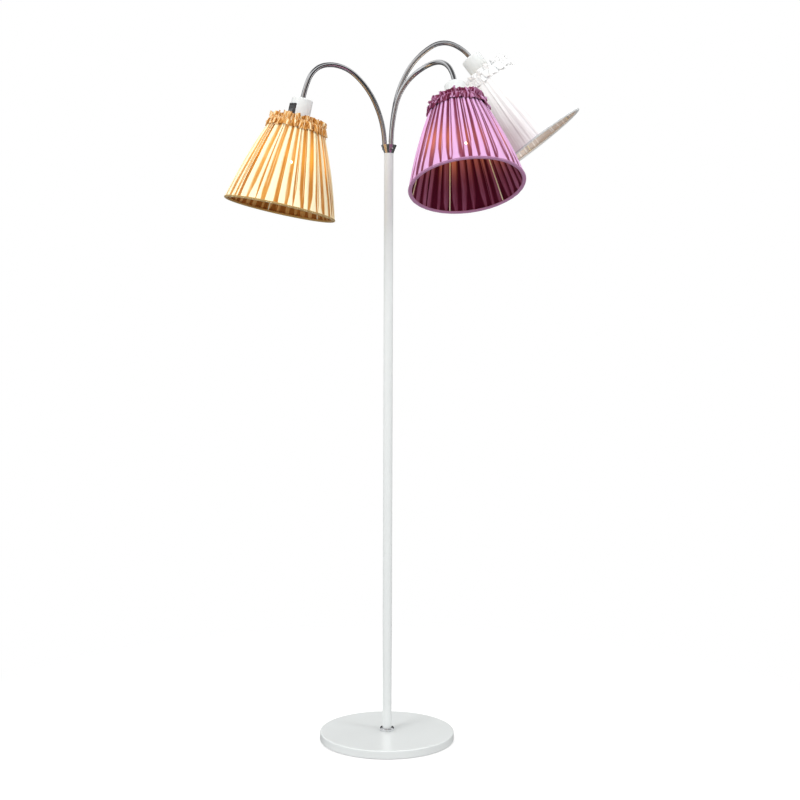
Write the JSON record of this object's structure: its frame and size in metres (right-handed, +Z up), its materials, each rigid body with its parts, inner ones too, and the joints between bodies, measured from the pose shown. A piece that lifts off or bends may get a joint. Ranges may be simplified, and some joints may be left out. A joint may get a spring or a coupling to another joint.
{
  "type": "tree floor lamp",
  "caption": "Floor lamp with a round base and a slim pole carrying adjustable goosenecks, each with a flared shade of gathered satin.",
  "frame": {"origin": "centre of the base on the floor, on the pole axis", "axes": "+Z up along the pole, -Y towards the viewer, +X to the viewer's right"},
  "size_m": [0.72, 0.451, 1.4543],
  "materials": {
    "white_paint": "smooth gloss white powder coat",
    "cast_weight": "rough casting, hidden",
    "floor_pad": "matte foam rubber",
    "zinc_fittings": "zinc plated",
    "chrome": "polished mirror chrome",
    "black_plastic": "matte moulded",
    "holder_plastic": "satin moulded heat-resistant plastic",
    "bulb_metal": "rolled screw cap",
    "bulb_glass": "frosted, lit from inside",
    "frame_wire": "cream coated wire",
    "gold_satin": "glossy gathered satin, gold",
    "purple_satin": "glossy gathered satin, plum",
    "white_satin": "glossy gathered satin, white"
  },
  "bodies": {
    "stand": {"base_cover": "white_paint", "base_weight": "cast_weight", "base_pad": "floor_pad", "base_stud": "zinc_fittings", "base_washer": "zinc_fittings", "base_nut": "zinc_fittings", "base_collar": "chrome", "cord_gland": "black_plastic", "pole_section_1": "white_paint", "pole_coupler_1": "zinc_fittings", "pole_section_2": "white_paint", "pole_coupler_2": "zinc_fittings", "pole_section_3": "white_paint", "pole_coupler_3": "zinc_fittings", "pole_top": "white_paint", "neck_cup": "chrome"},
    "lower_gold": {"neck_lower_gold": "chrome"},
    "middle_gold": {"neck_middle_gold": "chrome"},
    "head_gold": {"neck_end_gold": "chrome", "socket_cover_gold": "white_paint", "lampholder_gold": "holder_plastic", "shade_ring_gold": "holder_plastic", "switch_frame_gold": "black_plastic", "bulb_cap_gold": "bulb_metal", "bulb_glass_gold": "bulb_glass", "shade_frame_gold": "frame_wire", "shade_cloth_gold": "gold_satin", "shade_ruffle_gold": "gold_satin"},
    "rocker_gold": {"switch_rocker_gold": "black_plastic"},
    "lower_purple": {"neck_lower_purple": "chrome"},
    "middle_purple": {"neck_middle_purple": "chrome"},
    "head_purple": {"neck_end_purple": "chrome", "socket_cover_purple": "white_paint", "lampholder_purple": "holder_plastic", "shade_ring_purple": "holder_plastic", "switch_frame_purple": "black_plastic", "bulb_cap_purple": "bulb_metal", "bulb_glass_purple": "bulb_glass", "shade_frame_purple": "frame_wire", "shade_cloth_purple": "purple_satin", "shade_ruffle_purple": "purple_satin"},
    "rocker_purple": {"switch_rocker_purple": "black_plastic"},
    "lower_white": {"neck_lower_white": "chrome"},
    "middle_white": {"neck_middle_white": "chrome"},
    "head_white": {"neck_end_white": "chrome", "socket_cover_white": "white_paint", "lampholder_white": "holder_plastic", "shade_ring_white": "holder_plastic", "switch_frame_white": "black_plastic", "bulb_cap_white": "bulb_metal", "bulb_glass_white": "bulb_glass", "shade_frame_white": "frame_wire", "shade_cloth_white": "white_satin", "shade_ruffle_white": "white_satin"},
    "rocker_white": {"switch_rocker_white": "black_plastic"}
  },
  "joints": [
    {"name": "swing_gold", "type": "hinge", "parent": "stand", "child": "lower_gold", "pos_m": [-0.0088, 0, 1.23278], "axis": [0, 0, 1], "range_deg": [-80, 25]},
    {"name": "bend_gold", "type": "hinge", "parent": "lower_gold", "child": "middle_gold", "pos_m": [-0.0238, -0.00808, 1.31031], "axis": [0.5128, -0.8583, 0.02], "range_deg": [-20, 15]},
    {"name": "aim_gold", "type": "hinge", "parent": "middle_gold", "child": "head_gold", "pos_m": [-0.16051, -0.08704, 1.34942], "axis": [0.5783, -0.8053, -0.1303], "range_deg": [-40, 10]},
    {"name": "rocker_gold", "type": "hinge", "parent": "head_gold", "child": "rocker_gold", "pos_m": [-0.18795, -0.09918, 1.28986], "axis": [-0.6577, 0.739, 0.1463], "range_deg": [-14, 0]},
    {"name": "swing_purple", "type": "hinge", "parent": "stand", "child": "lower_purple", "pos_m": [0.0044, -0.00762, 1.23278], "axis": [0, 0, 1], "range_deg": [-40, 8]},
    {"name": "bend_purple", "type": "hinge", "parent": "lower_purple", "child": "middle_purple", "pos_m": [0.01307, -0.00928, 1.31213], "axis": [0.3013, 0.9532, -0.0258], "range_deg": [-15, 10]},
    {"name": "aim_purple", "type": "hinge", "parent": "middle_purple", "child": "head_purple", "pos_m": [0.12404, -0.10666, 1.36515], "axis": [0.9389, 0.3427, -0.0314], "range_deg": [-30, 10]},
    {"name": "rocker_purple", "type": "hinge", "parent": "head_purple", "child": "rocker_purple", "pos_m": [0.13335, -0.121, 1.30452], "axis": [0.9953, 0.0063, 0.0969], "range_deg": [-14, 0]},
    {"name": "swing_white", "type": "hinge", "parent": "stand", "child": "lower_white", "pos_m": [0.0044, 0.00762, 1.23278], "axis": [0, 0, 1], "range_deg": [-8, 80]},
    {"name": "bend_white", "type": "hinge", "parent": "lower_white", "child": "middle_white", "pos_m": [0.01095, 0.0073, 1.31242], "axis": [0.0247, 0.9997, 0.0039], "range_deg": [-15, 20]},
    {"name": "aim_white", "type": "hinge", "parent": "middle_white", "child": "head_white", "pos_m": [0.13828, 0.01281, 1.44396], "axis": [-0.2397, 0.9512, -0.1942], "range_deg": [-35, 8]},
    {"name": "rocker_white", "type": "hinge", "parent": "head_white", "child": "rocker_white", "pos_m": [0.18377, 0.03135, 1.40027], "axis": [0.7939, -0.0007, 0.608], "range_deg": [-14, 0]}
  ]
}
